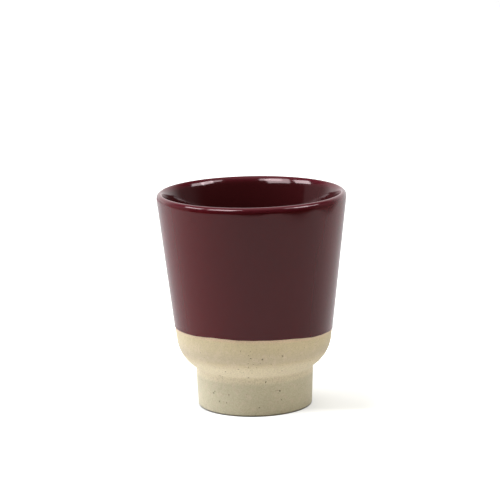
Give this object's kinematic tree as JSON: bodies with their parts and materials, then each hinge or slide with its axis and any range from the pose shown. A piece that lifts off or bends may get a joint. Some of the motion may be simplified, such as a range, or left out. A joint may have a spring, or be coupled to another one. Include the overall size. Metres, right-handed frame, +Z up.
{
  "type": "footed cup",
  "caption": "Handleless stoneware cup with a tapered wall, rounded underside and tall foot ring, glazed inside and out above a bare clay band.",
  "frame": {"origin": "on the cup's axis, in the plane that the foot ring rests on", "axes": "+Z up along the cup's axis, -Y towards the front as pictured, +X to its right"},
  "size_m": [0.08, 0.08, 0.0915],
  "materials": {
    "raw_stoneware": "matte",
    "burgundy_glaze": "gloss"
  },
  "bodies": {
    "root": {"bowl": "raw_stoneware", "foot_ring": "raw_stoneware", "outer_glaze": "burgundy_glaze", "liner_glaze": "burgundy_glaze"}
  },
  "joints": []
}
